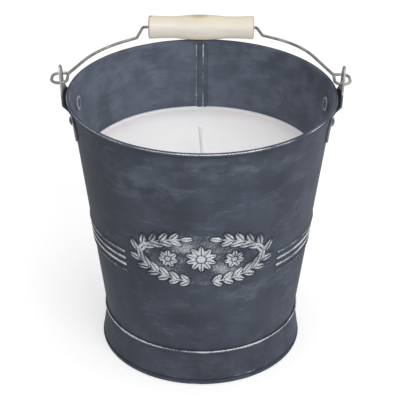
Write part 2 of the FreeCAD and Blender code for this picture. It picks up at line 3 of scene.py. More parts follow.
import bmesh
import bpy
import numpy as np
from mathutils import Euler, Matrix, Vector


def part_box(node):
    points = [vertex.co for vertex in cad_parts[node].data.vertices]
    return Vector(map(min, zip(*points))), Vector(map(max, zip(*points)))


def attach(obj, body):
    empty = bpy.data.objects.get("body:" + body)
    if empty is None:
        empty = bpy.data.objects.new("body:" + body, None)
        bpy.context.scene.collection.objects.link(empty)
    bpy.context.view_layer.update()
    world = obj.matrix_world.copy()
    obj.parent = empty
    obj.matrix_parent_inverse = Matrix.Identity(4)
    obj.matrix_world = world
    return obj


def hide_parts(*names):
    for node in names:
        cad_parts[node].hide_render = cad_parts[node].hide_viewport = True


# Citronella candle bucket: finishes and fine forms over the fixed construction model.
# Metres throughout. -Y is the ornamented front, +Y the seam, +Z up, origin under the foot's middle.

bl_info = {
    "name": "Candle Bucket",
    "version": (1, 0, 0),
    "blender": (4, 5, 0),
    "location": "View3D > Sidebar > Candle Bucket",
    "description": "Dresses a sheet-metal candle bucket with its wax, wick, bail and grip",
    "category": "Object",
}

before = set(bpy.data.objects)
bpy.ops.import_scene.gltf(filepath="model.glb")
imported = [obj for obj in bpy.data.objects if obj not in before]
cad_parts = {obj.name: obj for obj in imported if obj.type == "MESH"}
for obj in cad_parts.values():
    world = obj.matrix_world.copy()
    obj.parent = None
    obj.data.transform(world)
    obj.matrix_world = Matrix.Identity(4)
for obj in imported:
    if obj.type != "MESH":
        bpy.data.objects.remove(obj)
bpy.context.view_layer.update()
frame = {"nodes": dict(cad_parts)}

WALL_LOW, WALL_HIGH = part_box("bucket_wall")
FOOT_LOW, FOOT_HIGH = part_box("foot_ring")
WAX_LOW, WAX_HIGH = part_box("wax_fill")
WICK_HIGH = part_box("wick")[1]
GRIP_LOW, GRIP_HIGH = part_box("wooden_grip")

FOOT_RADIUS = (FOOT_HIGH.x - FOOT_LOW.x) / 2
MM = 0.001
FRONT = -math.pi / 2
BACK = math.pi / 2
# How far the wick stands out of the wax
WICK_FREE = 0.029

# Settings


class BucketSettings(bpy.types.PropertyGroup):
    """Sizes of the sheet-metal bucket and what is pressed into it."""

    sheet: bpy.props.FloatProperty(
        name="Sheet", description="Thickness of the wall's sheet", default=0.0006, unit="LENGTH"
    )
    curl_radius: bpy.props.FloatProperty(
        name="Rim roll", description="Radius of the rolled rim", default=0.0018, unit="LENGTH"
    )
    waist_radius: bpy.props.FloatProperty(
        name="Waist radius", description="Outside of the wall at its foot",
        default=0.0754, unit="LENGTH",
    )
    bead_height: bpy.props.FloatProperty(
        name="Bead height", description="How far the rolled beads stand out",
        default=0.0009, unit="LENGTH",
    )
    relief_height: bpy.props.FloatProperty(
        name="Relief height", description="How far the ornament stands out",
        default=0.0011, unit="LENGTH",
    )
    wreath_width: bpy.props.FloatProperty(
        name="Wreath width", description="Half width of the sprigs' oval",
        default=0.0485, unit="LENGTH",
    )
    wreath_height: bpy.props.FloatProperty(
        name="Wreath height", description="Half height of the sprigs' oval",
        default=0.0195, unit="LENGTH",
    )


class FinishSettings(bpy.types.PropertyGroup):
    """Colours of the finishes."""

    dark_metal: bpy.props.FloatVectorProperty(
        name="Dark metal", description="Grey-blue paint",
        subtype="COLOR", default=(0.058, 0.068, 0.092),
    )
    wiped_metal: bpy.props.FloatVectorProperty(
        name="Wiped metal", description="Thin paint in wiped streaks",
        subtype="COLOR", default=(0.15, 0.173, 0.222),
    )
    rubbed_metal: bpy.props.FloatVectorProperty(
        name="Rubbed metal", description="Where the paint is rubbed off",
        subtype="COLOR", default=(0.72, 0.75, 0.8),
    )
    zinc: bpy.props.FloatVectorProperty(
        name="Zinc", description="Bare metal of ears and rivets",
        subtype="COLOR", default=(0.5, 0.51, 0.52),
    )
    bail_steel: bpy.props.FloatVectorProperty(
        name="Bail wire", description="Dull wire", subtype="COLOR", default=(0.44, 0.44, 0.42)
    )
    birch: bpy.props.FloatVectorProperty(
        name="Birch", description="Pale wood of the grip",
        subtype="COLOR", default=(0.76, 0.7, 0.6),
    )
    wax: bpy.props.FloatVectorProperty(
        name="Wax", description="Poured wax", subtype="COLOR", default=(0.91, 0.89, 0.895)
    )
    cotton: bpy.props.FloatVectorProperty(
        name="Wick", description="Waxed cotton", subtype="COLOR", default=(0.97, 0.965, 0.955)
    )


class StageSettings(bpy.types.PropertyGroup):
    """Camera and lamps."""

    distance: bpy.props.FloatProperty(
        name="Distance", description="From the rim's middle to the camera",
        default=1.06149, unit="LENGTH",
    )
    elevation: bpy.props.FloatProperty(
        name="Elevation", description="Camera above the rim",
        default=math.radians(25.147), subtype="ANGLE",
    )
    pitch: bpy.props.FloatProperty(
        name="Pitch", description="Camera's tilt below the horizon",
        default=math.radians(29.422), subtype="ANGLE",
    )
    roll: bpy.props.FloatProperty(
        name="Roll", description="Camera's turn about its view", default=0.005, subtype="ANGLE"
    )
    sideways: bpy.props.FloatProperty(
        name="Sideways", description="Camera's offset to the right",
        default=-0.00111, unit="LENGTH",
    )
    lens: bpy.props.FloatProperty(
        name="Lens", description="Focal length on a 36 mm sensor", default=127.73, min=1.0
    )
    overhead: bpy.props.FloatProperty(
        name="Overhead lamp", description="Watts", default=17.0, min=0.0
    )
    key: bpy.props.FloatProperty(name="Key lamp", description="Watts", default=18.0, min=0.0)
    fill: bpy.props.FloatProperty(name="Fill lamp", description="Watts", default=3.0, min=0.0)
    sky: bpy.props.FloatProperty(name="Sky", description="World strength", default=0.44, min=0.0)


class CandleSettings(bpy.types.PropertyGroup):
    """All settings of the candle bucket."""

    bucket: bpy.props.PointerProperty(type=BucketSettings)
    finish: bpy.props.PointerProperty(type=FinishSettings)
    stage: bpy.props.PointerProperty(type=StageSettings)


def settings():
    return bpy.context.scene.candle_bucket


# Node helpers


class NodeTree:
    """Short ways to add and join nodes."""

    def __init__(self, tree):
        self.tree = tree

    def add(self, kind, inputs=None, **attributes):
        node = self.tree.nodes.new(kind)
        for name, value in attributes.items():
            setattr(node, name, value)
        self.fill(node, inputs or {})
        return node

    def fill(self, node, inputs):
        for key, value in inputs.items():
            self.feed(node.inputs[key], value)

    def feed(self, socket, value):
        if isinstance(value, bpy.types.NodeSocket):
            self.tree.links.new(value, socket)
        else:
            socket.default_value = value

    def math(self, operation, *values, clamp=False):
        node = self.add("ShaderNodeMath", operation=operation, use_clamp=clamp)
        for socket, value in zip(node.inputs, values):
            self.feed(socket, value)
        return node.outputs[0]

    def times(self, first, second):
        return self.math("MULTIPLY", first, second)

    def plus(self, first, second, clamp=False):
        return self.math("ADD", first, second, clamp=clamp)

    def minus(self, first, second):
        return self.math("SUBTRACT", first, second)

    def vector(self, operation, first, second=None):
        node = self.add("ShaderNodeVectorMath", {0: first}, operation=operation)
        if second is not None:
            self.feed(node.inputs[1], second)
        return node.outputs["Value" if operation in ("LENGTH", "DISTANCE") else "Vector"]

    def place(self):
        """Object coordinates."""
        return self.add("ShaderNodeTexCoord").outputs["Object"]

    def parts(self, vector):
        return self.add("ShaderNodeSeparateXYZ", {0: vector}).outputs

    def band(self, value, low, high):
        """0 below low and 1 above high, eased between."""
        inputs = {"Value": value, "From Min": low, "From Max": high}
        node = self.add("ShaderNodeMapRange", inputs, interpolation_type="SMOOTHSTEP")
        return node.outputs["Result"]

    def oval(self, vector, middle, halves):
        """Soft-edged oval: 1 in its middle and 0 past its half sizes."""
        moved = self.vector("SUBTRACT", vector, middle)
        scaled = self.vector("MULTIPLY", moved, tuple(1.0 / half for half in halves))
        return self.minus(1.0, self.band(self.vector("LENGTH", scaled), 0.2, 1.1))

    def mix(self, factor, first, second):
        node = self.add("ShaderNodeMix", data_type="RGBA")
        self.fill(node, {"Factor": factor, "A": first, "B": second})
        return node.outputs["Result"]

    def coat(self, color, over, mask, low, high, amount=1.0):
        """Lays over on color where the mask rises from low to high."""
        share = self.band(mask, low, high)
        if amount < 1.0:
            share = self.times(share, amount)
        return self.mix(share, color, over)

    def noise(self, vector, scale, detail=3.0, roughness=0.5, stretch=None):
        if stretch:
            vector = self.vector("MULTIPLY", vector, stretch)
        inputs = {"Vector": vector, "Scale": scale, "Detail": detail, "Roughness": roughness}
        return self.add("ShaderNodeTexNoise", inputs).outputs["Fac"]


def rgba(color, factor=1.0):
    return (*(min(1.0, part * factor) for part in color), 1.0)


def new_group(name, inputs, outputs):
    """An empty shader group; inputs and outputs map a name to its socket type and default."""
    group = bpy.data.node_groups.new(name, "ShaderNodeTree")
    for label, (kind, default) in inputs.items():
        socket = group.interface.new_socket(label, in_out="INPUT", socket_type=kind)
        if default is not None:
            socket.default_value = default
    for label, kind in outputs.items():
        group.interface.new_socket(label, in_out="OUTPUT", socket_type=kind)
    tools = NodeTree(group)
    start = tools.add("NodeGroupInput")
    end = tools.add("NodeGroupOutput")
    return tools, start.outputs, end.inputs


def around_group(name):
    """Object coordinates unrolled round the bucket: run along the wall, then height."""
    inputs = {"Radius": ("NodeSocketFloat", 0.088)}
    tools, start, end = new_group(name, inputs, {"Unrolled": "NodeSocketVector"})
    parts = tools.parts(tools.place())
    turn = tools.math("ARCTAN2", parts["X"], tools.times(parts["Y"], -1.0))
    inputs = {"X": tools.times(turn, start["Radius"]), "Y": parts["Z"]}
    tools.feed(end["Unrolled"], tools.add("ShaderNodeCombineXYZ", inputs).outputs["Vector"])


PATINA_SCALES = {
    "Scratch Scale": 420.0,
    "Brush Scale": 560.0,
    "Mottle Scale": 48.0,
    "Cloud Scale": 15.0,
    "Speck Scale": 1100.0,
}
# Each noise of the patina: its scale, detail, roughness and stretch
PATINA_NOISES = {
    "Clouds": ("Cloud Scale", 2.0, 0.5, (0.8, 1.2, 1.0)),
    "Mottle": ("Mottle Scale", 6.0, 0.62, (0.85, 1.1, 1.0)),
    "Upright": ("Mottle Scale", 2.0, 0.5, (1.0, 0.22, 1.0)),
    "Grain": ("Brush Scale", 4.0, 0.7, (0.1, 1.0, 1.0)),
    "Scratches": ("Scratch Scale", 4.0, 0.65, (0.11, 1.0, 1.0)),
    "Specks": ("Speck Scale", 3.0, 0.7, None),
}


def patina_group(name):
    """Wiped scratches, mottling and fine brush lines that run round the bucket."""
    inputs = {"Unrolled": ("NodeSocketVector", None)}
    for label, scale in PATINA_SCALES.items():
        inputs[label] = ("NodeSocketFloat", scale)
    outputs = {label: "NodeSocketFloat" for label in (*PATINA_NOISES, "Brush")}
    tools, start, end = new_group(name, inputs, outputs)
    values = {}
    for label, (scale, *shape) in PATINA_NOISES.items():
        values[label] = tools.noise(start["Unrolled"], start[scale], *shape)
    patches = tools.band(values["Mottle"], 0.46, 0.64)
    values["Scratches"] = tools.times(tools.band(values["Scratches"], 0.54, 0.64), patches)
    lines = tools.band(values["Grain"], 0.45, 0.62)
    values["Brush"] = tools.times(lines, tools.plus(0.3, patches, clamp=True))
    for label, value in values.items():
        tools.feed(end[label], value)


def place_group(tools, name, build, inputs=None):
    """Adds the named group to a material; the first one to ask for it builds it."""
    if name not in bpy.data.node_groups:
        build(name)
    node = tools.add("ShaderNodeGroup", node_tree=bpy.data.node_groups[name])
    tools.fill(node, inputs or {})
    return node.outputs


def new_material(name):
    """A material with its Principled shader, ready for its inputs."""
    material = bpy.data.materials.new(name)
    material.use_nodes = True
    tools = NodeTree(material.node_tree)
    shader = material.node_tree.nodes["Principled BSDF"]
    return material, tools, shader


def finish_shader(tools, shader, inputs, height, strength, distance=0.0002):
    """Fills the shader's inputs and adds a bump by the given height."""
    tools.fill(shader, inputs)
    inputs = {"Height": height, "Strength": strength, "Distance": distance}
    tools.feed(shader.inputs["Normal"], tools.add("ShaderNodeBump", inputs).outputs["Normal"])


# Materials

# Where paler paint shows, and how much thin paint shows where "thin" is set (painted light inside
# the bucket): layer, low, high, amount
PALER_COATS = (("Mottle", 0.4, 0.72, 0.45), ("Upright", 0.4, 0.65, 0.22))
BARER_COATS = (("Mottle", 0.35, 0.65, 0.5), ("Upright", 0.4, 0.65, 0.2))
# Painted shade: the dark laid where the "shade" attribute marks grooves, corners, the feet of the
# relief and the underside of the rim's roll
GROOVE_PAINT = (0.022, 0.026, 0.036)


def dark_metal_material(name, wiped=(), darkened=()):
    """Grey-blue paint over zinc, wiped in streaks and rubbed through where the sheet stands proud.

    The mesh attribute "rub" marks the proud places, worn bright, and along the rim's roll also a
    painted highlight; "shade" marks painted shade in grooves, corners, round the relief and under
    the roll; "thin" where thin paint shows, which inside the bucket is painted light. wiped are
    ovals on the unrolled wall that were wiped more; darkened are ovals made darker.
    """
    colors = settings().finish
    material, tools, shader = new_material(name)
    flat = place_group(tools, "around_the_bucket", around_group)["Unrolled"]
    patina = place_group(tools, "wiped_patina", patina_group, {"Unrolled": flat})
    rub, shade, thin = (
        tools.add("ShaderNodeAttribute", attribute_name=label).outputs["Fac"]
        for label in ("rub", "shade", "thin")
    )
    deeper, dark, paler = (rgba(colors.dark_metal, factor) for factor in (0.7, 1.0, 1.55))
    wiped_paint = rgba(colors.wiped_metal)

    def patch_mask(run, height, half_run, half_height):
        return tools.oval(flat, (run, height, 0.0), (half_run, half_height, 1.0))

    base = tools.coat(deeper, dark, patina["Clouds"], 0.32, 0.68)
    for layer, low, high, amount in PALER_COATS:
        base = tools.coat(base, paler, patina[layer], low, high, amount)
    base = tools.mix(tools.times(patina["Brush"], 0.32), base, paler)
    scratches = tools.times(patina["Scratches"], 0.4)
    for patch in wiped:
        mask = tools.times(patch_mask(*patch), tools.band(patina["Mottle"], 0.38, 0.62))
        base = tools.mix(tools.times(mask, 0.38), base, wiped_paint)
        more = tools.times(tools.band(patina["Grain"], 0.5, 0.68), mask)
        scratches = tools.plus(scratches, tools.times(more, 0.45), clamp=True)
    # Darker ovals; on the wall the big one on its left side is painted shade
    for patch in darkened:
        base = tools.mix(tools.times(patch_mask(*patch), 0.75), base, deeper)
    bare = tools.plus(0.42, tools.times(patina["Brush"], 0.35))
    for layer, low, high, amount in BARER_COATS:
        bare = tools.plus(bare, tools.times(tools.band(patina[layer], low, high), amount))
    # Thin paint shows where "thin" is set; inside the bucket this is painted light from above
    base = tools.mix(tools.times(thin, bare), base, wiped_paint)
    base = tools.mix(scratches, base, wiped_paint)
    loose = tools.times(tools.minus(patina["Specks"], 0.5), 0.9)
    loose = tools.plus(loose, tools.times(tools.minus(patina["Mottle"], 0.5), 1.1))
    worn = tools.plus(rub, tools.times(loose, tools.band(rub, 0.0, 0.3)))
    mask = tools.band(worn, 0.34, 0.8)
    grey, bright = rgba(colors.rubbed_metal, 0.55), rgba(colors.rubbed_metal)
    metal = tools.coat(grey, bright, patina["Specks"], 0.38, 0.58)
    color = tools.mix(mask, base, metal)
    # Painted shade: darkened towards this colour where the "shade" attribute is set
    color = tools.mix(tools.times(shade, 0.85), color, rgba(GROOVE_PAINT))
    rough = tools.plus(0.56, tools.times(patina["Grain"], 0.16))
    inputs = {
        "Base Color": color,
        "Roughness": tools.minus(rough, tools.times(mask, 0.16)),
        "Metallic": tools.times(mask, 0.4),
        "Specular IOR Level": 0.18,
    }
    finish_shader(tools, shader, inputs, patina["Grain"], 0.2)
    return material


def zinc_material(name, color, dark_below=None):
    """Bare galvanised metal with fine scratches; below dark_below it keeps the bucket's paint."""
    colors = settings().finish
    material, tools, shader = new_material(name)
    place = tools.place()
    grain = tools.noise(place, 380.0, 3.0, 0.65, (1.0, 1.0, 0.35))
    clouds = tools.noise(place, 90.0, 3.0, 0.55)
    shade = tools.coat(rgba(color, 0.6), rgba(color), clouds, 0.35, 0.7)
    shade = tools.coat(shade, rgba(color, 1.35), grain, 0.5, 0.8, 0.6)
    inputs = {"Metallic": 0.8}
    if dark_below is not None:
        uneven = tools.times(tools.minus(clouds, 0.5), 0.008)
        ragged = tools.plus(tools.parts(place)["Z"], uneven)
        bare = tools.band(ragged, dark_below - 0.0015, dark_below + 0.0025)
        wiped = tools.noise(place, 500.0, 4.0, 0.65)
        dark, thin = rgba(colors.dark_metal, 0.7), rgba(colors.wiped_metal)
        shade = tools.mix(bare, tools.coat(dark, thin, wiped, 0.55, 0.75), shade)
        inputs = {"Metallic": tools.times(bare, 0.8), "Specular IOR Level": 0.25}
    inputs["Base Color"] = shade
    inputs["Roughness"] = tools.plus(0.34, tools.times(clouds, 0.25))
    finish_shader(tools, shader, inputs, grain, 0.25)
    return material


# Bright ring on a rivet's head: it rises between the first two radii and fades between the others
RIVET_RING = (0.0036, 0.0043, 0.0051, 0.0057)


def rivet_material(name, middle, axis):
    """Painted rivet, rubbed bright in a ring round its axis where the head stands proudest."""
    colors = settings().finish
    material, tools, shader = new_material(name)
    place = tools.place()
    across = tools.vector("CROSS_PRODUCT", tools.vector("SUBTRACT", place, middle), axis)
    reach = tools.vector("LENGTH", across)
    specks = tools.noise(place, 700.0, 3.0, 0.65)
    past = tools.band(reach, *RIVET_RING[2:])
    ring = tools.times(tools.band(reach, *RIVET_RING[:2]), tools.minus(1.0, past))
    patchy = tools.plus(0.35, tools.band(specks, 0.35, 0.6), clamp=True)
    worn = tools.times(tools.times(ring, patchy), 0.6)
    dark, thin = rgba(colors.dark_metal), rgba(colors.wiped_metal)
    paint = tools.coat(dark, thin, specks, 0.45, 0.75)
    inputs = {
        "Base Color": tools.mix(worn, paint, rgba(colors.rubbed_metal)),
        "Metallic": tools.times(worn, 0.5),
        "Roughness": tools.plus(0.4, tools.times(specks, 0.2)),
    }
    finish_shader(tools, shader, inputs, specks, 0.2)
    return material


# Colours of the grip: its heart, pores, painted shade on its top, painted light on its underside,
# ochre edges with painted shade along its bottom, and the dent near its left end
BIRCH_CREAM = (0.8, 0.76, 0.7)
BIRCH_PORES = (0.66, 0.57, 0.4)
BIRCH_SHADED_TOP = (0.64, 0.575, 0.44)
BIRCH_LIT_UNDERSIDE = (0.93, 0.85, 0.69)
BIRCH_OCHRE = (0.46, 0.34, 0.17)
BIRCH_DENT = (0.1, 0.09, 0.07)


def birch_material():
    """Pale turned birch: pores, faint bands, a knot on top, ochre at its end edges; painted shade
    on top and along the bottom, painted light below its middle.
    """
    material, tools, shader = new_material("pale_birch")
    local = tools.vector("SUBTRACT", tools.place(), (GRIP_LOW + GRIP_HIGH) / 2)
    half = (GRIP_HIGH.x - GRIP_LOW.x) / 2
    parts = tools.parts(local)
    grain = tools.noise(local, 520.0, 4.0, 0.6, (0.06, 1.0, 1.0))
    bands = tools.noise(local, 130.0, 3.0, 0.5, (0.12, 1.0, 0.55))
    pores = tools.noise(local, 1500.0, 2.0, 0.5, (0.18, 1.0, 1.0))
    color = tools.coat(rgba(BIRCH_CREAM), rgba(settings().finish.birch), bands, 0.35, 0.7)
    color = tools.coat(color, rgba(BIRCH_PORES), grain, 0.5, 0.7, 0.4)
    # Painted shade: darker tan over the grip's top
    color = tools.coat(color, rgba(BIRCH_SHADED_TOP), parts["Z"], 0.004, 0.0085, 0.85)
    down = tools.times(parts["Z"], -1.0)
    # Painted light: paler and warmer on the lower half, as lit from below
    color = tools.coat(color, rgba(BIRCH_LIT_UNDERSIDE), down, -0.001, 0.0065)
    reach = tools.math("ABSOLUTE", parts["X"])
    end = tools.times(tools.band(reach, half - 0.0013, half - 0.0002), 0.9)
    # Ochre at the end edges, and painted shade along the bottom
    below = tools.times(tools.band(down, 0.0072, 0.0095), 0.85)
    color = tools.mix(tools.math("MAXIMUM", end, below), color, rgba(BIRCH_OCHRE))
    knot = tools.oval(local, (-0.002, 0.001, 0.0105), (0.011, 0.0075, 0.0042))
    color = tools.mix(tools.times(knot, 0.85), color, rgba(BIRCH_OCHRE))
    away = tools.vector("DISTANCE", local, (0.0019 - half, 0.0, 0.0096))
    dent = tools.minus(1.0, tools.band(away, 0.0006, 0.0016))
    color = tools.mix(tools.times(dent, 0.8), color, rgba(BIRCH_DENT))
    rough = tools.plus(0.48, tools.times(grain, 0.15))
    finish_shader(tools, shader, {"Base Color": color, "Roughness": rough}, pores, 0.15)
    return material


WAX_FROST = (0.94, 0.93, 0.93)
WAX_ROSE = (0.84, 0.75, 0.78)
WAX_EDGE_TONE = (0.5, 0.49, 0.58)


def wax_material():
    """Off-white wax, a little pink towards the wall and darker and bluer at its edge, faintly
    frosted.
    """
    material, tools, shader = new_material("poured_wax")
    place = tools.place()
    distance = tools.vector("LENGTH", tools.vector("MULTIPLY", place, (1.0, 1.0, 0.0)))
    clouds = tools.noise(place, 34.0, 4.0, 0.55)
    color = tools.coat(rgba(settings().finish.wax), rgba(WAX_FROST), clouds, 0.3, 0.75)
    color = tools.coat(color, rgba(WAX_ROSE), distance, 0.07, 0.091, 0.45)
    ragged = tools.plus(distance, tools.times(clouds, 0.003))
    color = tools.coat(color, rgba(WAX_EDGE_TONE), ragged, 0.0905, 0.0925, 0.7)
    inputs = {
        "Base Color": color,
        "Roughness": tools.plus(0.42, tools.times(clouds, 0.2)),
        "Subsurface Weight": 0.25,
        "Subsurface Radius": (0.012, 0.008, 0.006),
        "Subsurface Scale": 0.4,
    }
    frost = tools.noise(place, 240.0, 3.0, 0.6)
    finish_shader(tools, shader, inputs, frost, 0.12, 0.0004)
    return material


def cotton_material():
    """Braided cotton stiffened with wax."""
    cotton = settings().finish.cotton
    material, tools, shader = new_material("waxed_cotton")
    fibres = tools.noise(tools.place(), 2600.0, 3.0, 0.6, (1.0, 1.0, 0.3))
    color = tools.mix(fibres, rgba(cotton, 0.94), rgba(cotton))
    rough = tools.plus(0.6, tools.times(fibres, 0.2))
    finish_shader(tools, shader, {"Base Color": color, "Roughness": rough}, fibres, 0.15)
    return material


WHITE = (1.0, 1.0, 1.0, 1.0)
FLOOR_GREY = (0.6, 0.6, 0.6, 1.0)
# How much the floor glows for the camera near the bucket, and how much more far off
FLOOR_GLOW = 0.52
FLOOR_FAR_GLOW = 0.2


def floor_material():
    """White for the camera and for gloss, pale grey for everything else; it keeps the shadow."""
    material, tools, shader = new_material("pale_floor")
    inputs = {"Base Color": FLOOR_GREY, "Roughness": 0.9, "Specular IOR Level": 0.1}
    tools.fill(shader, inputs)
    path = tools.add("ShaderNodeLightPath").outputs
    seen = tools.math("MAXIMUM", path["Is Camera Ray"], path["Is Glossy Ray"])
    seen = tools.math("MAXIMUM", seen, path["Is Transmission Ray"])
    away = tools.vector("LENGTH", tools.place())
    level = tools.plus(FLOOR_GLOW, tools.times(tools.band(away, 0.9, 3.5), FLOOR_FAR_GLOW))
    inputs = {"Color": WHITE, "Strength": tools.times(seen, level)}
    glow = tools.add("ShaderNodeEmission", inputs)
    both = tools.add("ShaderNodeAddShader", {0: shader.outputs["BSDF"], 1: glow.outputs[0]})
    output = material.node_tree.nodes["Material Output"]
    tools.feed(output.inputs["Surface"], both.outputs["Shader"])
    return material


# Mesh helpers


def spaced(first, last, step):
    """Evenly spaced values from first to last, both included, at most a step apart."""
    count = max(1, math.ceil(abs(last - first) / step - 1e-9))
    return [first + (last - first) * index / count for index in range(count + 1)]


def arc(centre, radius, first, last, count):
    """Points on an arc in the radius-height plane; angles in degrees."""
    points = []
    for index in range(count + 1):
        turn = math.radians(first + (last - first) * index / count)
        points.append((centre[0] + radius * math.cos(turn), centre[1] + radius * math.sin(turn)))
    return points


def section_grid(section, bearings):
    """Bearing, height and radius of every point of a section turned through the bearings."""
    turns, heights = np.meshgrid(bearings, [height for _, height in section])
    radii = np.array([radius for radius, _ in section])[:, None]
    return turns, heights, radii


def lathe(name, outline, bearings, offset=0.0, masks=None):
    """Closed outline of (radius, height) points turned through all the bearings.

    The outline runs with the material on its left. offset moves points outward, and masks maps a
    mesh attribute's name to its values; each is an array of outline points by bearings.
    """
    turns, heights, radii = section_grid(outline, bearings)
    radius = radii + offset
    x, y = radius * np.cos(turns), radius * np.sin(turns)
    vertices = np.stack([x, y, heights], axis=-1).reshape(-1, 3)
    rows, columns = len(outline), len(bearings)
    faces = []
    for row in range(rows):
        below = (row + 1) % rows
        for column in range(columns):
            beside = (column + 1) % columns
            first, second = row * columns + column, row * columns + beside
            third, fourth = below * columns + beside, below * columns + column
            faces.append((first, second, third, fourth))
    mesh = bpy.data.meshes.new(name)
    mesh.from_pydata(vertices.tolist(), [], faces)
    for label, values in (masks or {}).items():
        layer = mesh.attributes.new(label, "FLOAT", "POINT")
        values = np.broadcast_to(values, x.shape)
        layer.data.foreach_set("value", np.ascontiguousarray(values, dtype=np.float32).ravel())
    return finish_mesh(name, mesh)


def link_object(name, data):
    thing = bpy.data.objects.new(name, data)
    bpy.context.scene.collection.objects.link(thing)
    return thing


def finish_mesh(name, mesh):
    """Links a mesh as a smooth object with its faces pointing outward."""
    work = bmesh.new()
    work.from_mesh(mesh)
    bmesh.ops.recalc_face_normals(work, faces=work.faces)
    work.to_mesh(mesh)
    work.free()
    for polygon in mesh.polygons:
        polygon.use_smooth = True
    return link_object(name, mesh)


def join_model(piece, material, body, slot, *nodes):
    """The piece gets its material, stands for its construction nodes and moves with their body."""
    piece.data.materials.clear()
    piece.data.materials.append(material)
    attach(piece, body)
    if nodes:
        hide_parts(*nodes)


def rim_height():
    return WALL_HIGH.z - settings().bucket.curl_radius


def rim_radius():
    """Middle of the rolled rim."""
    return (WALL_HIGH.x - WALL_LOW.x) / 2 - settings().bucket.curl_radius


def wall_outside(height):
    """Radius of the wall's outer face at a height."""
    bucket = settings().bucket
    top = rim_radius() - bucket.curl_radius + bucket.sheet
    share = (height - WALL_LOW.z) / (rim_height() - WALL_LOW.z)
    return bucket.waist_radius + (top - bucket.waist_radius) * share


# Relief of the wall

RIVET_DROP = 0.015
RIVET_SPREAD = math.radians(9)
# Where the wall was wiped more, and where it is darker, the big patch on its left side being
# painted shade: run from the front, height, half run, half height
WIPED_PATCHES = (
    (-0.045, 0.178, 0.038, 0.02), (0.012, 0.196, 0.06, 0.012), (0.035, 0.085, 0.03, 0.014)
)
DARKENED_PATCHES = (
    (0.051, 0.176, 0.018, 0.014), (-0.012, 0.06, 0.03, 0.012), (-0.092, 0.14, 0.05, 0.07)
)
BEAD_TOP = 0.1119
BEAD_PITCH = 0.006
BEAD_HALF_WIDTH = 0.0017
BEAD_END = math.radians(41.5)
# How worn each bead is, from the top one down
BEAD_WEAR = {"left": (0.54, 0.68, 0.72, 0.4), "right": (0.44, 0.7, 0.64, 0.34)}
WREATH_MIDDLE = 0.117
# The sprigs run from below to above on each side, as angles on the wreath's oval
SPRIG_FIRST, SPRIG_LAST = math.radians(-80), math.radians(72)
LEAF_PAIRS = 11
LEAF_LENGTH = 0.0128
LEAF_HALF_WIDTH = 0.003
LEAF_SPREAD = math.radians(34)
STEM_HALF_WIDTH = 0.0009
# Each flower: run and rise of its middle, radius, petals
FLOWERS = ((0.0, 0.0015, 0.0125, 10), (-0.0245, 0.0, 0.0085, 7), (0.0245, 0.0, 0.0085, 7))


def dome(distance):
    """Rounded profile: 1 in the middle and 0 from distance 1 outward."""
    return np.sqrt(np.clip(1.0 - distance**2, 0.0, 1.0))


def bell(value, middle, width):
    """1 in the middle, falling off on both sides."""
    return np.exp(-(((value - middle) / width) ** 2))


def off_front(bearing):
    """Angle from the front, positive to the right."""
    return np.angle(np.exp(1j * (bearing - FRONT)))


def eased(value, low, high):
    """0 below low and 1 above high, eased between."""
    share = np.clip((value - low) / (high - low), 0.0, 1.0)
    return share * share * (3.0 - 2.0 * share)


def leaf_relief(run, rise, root, turn, length, half):
    """Pointed leaf with a groove along its middle, as a height from 0 to 1."""
    ahead, side = math.cos(turn), math.sin(turn)
    along = (run - root[0]) * ahead + (rise - root[1]) * side
    across = -(run - root[0]) * side + (rise - root[1]) * ahead
    share = np.clip(along / length, 0.0, 1.0)
    width = half * np.sin(np.pi * share**0.85) + 1e-9
    inside = (along > 0) & (along < length)
    body = dome(across / width) * inside
    body = body * eased(width, 0.0, half * 0.45)
    vein = 1.0 - 0.85 * bell(across, 0.0, half * 0.2) * eased(share, 0.02, 0.15)
    return body * vein


def sprig_relief(run, rise, side):
    """One half of the wreath: its stem, pairs of leaves and the leaf at the tip."""
    bucket = settings().bucket
    across, up = bucket.wreath_width, bucket.wreath_height
    fine = np.linspace(SPRIG_FIRST, SPRIG_LAST, 400)
    steps = np.hypot(np.diff(across * np.cos(fine)), np.diff(up * np.sin(fine)))
    length = np.concatenate([[0.0], np.cumsum(steps)])
    angles = np.interp(np.linspace(0.0, length[-1], LEAF_PAIRS + 1), length, fine)
    height = np.zeros_like(run)
    for index, angle in enumerate(angles):
        root = (side * across * math.cos(angle), up * math.sin(angle))
        bearing = math.atan2(up * math.cos(angle), -side * across * math.sin(angle))
        leans = (0,) if index == LEAF_PAIRS else (-1, 1)
        size = 0.8 + 0.2 * math.sin(math.pi * index / LEAF_PAIRS)
        for lean in leans:
            turn = bearing + lean * LEAF_SPREAD
            leaf = leaf_relief(run, rise, root, turn, LEAF_LENGTH * size, LEAF_HALF_WIDTH * size)
            height = np.maximum(height, leaf)
    angle = np.arctan2(rise / up, side * run / across)
    off = np.hypot(run, rise) - np.hypot(across * np.cos(angle), up * np.sin(angle))
    stem = 0.7 * dome(off / STEM_HALF_WIDTH) * ((angle > SPRIG_FIRST) & (angle < SPRIG_LAST))
    return np.maximum(height, stem)


def flower_relief(run, rise, radius, petals):
    """Ring of petals round a domed heart with a dished middle."""
    height = np.zeros_like(run)
    heart_radius = radius * 0.28
    inner = heart_radius * 0.7
    for index in range(petals):
        turn = math.pi / 2 + index * math.tau / petals
        root = (inner * math.cos(turn), inner * math.sin(turn))
        petal = leaf_relief(run, rise, root, turn, radius - inner, radius * 1.9 / petals)
        height = np.maximum(height, petal)
    distance = np.hypot(run, rise) / heart_radius
    moat = 1.0 - 0.9 * bell(distance, 1.05, 0.12)
    heart = dome(distance) * (1.0 - 0.45 * bell(distance, 0.0, 0.45))
    return np.maximum(height * moat, heart)


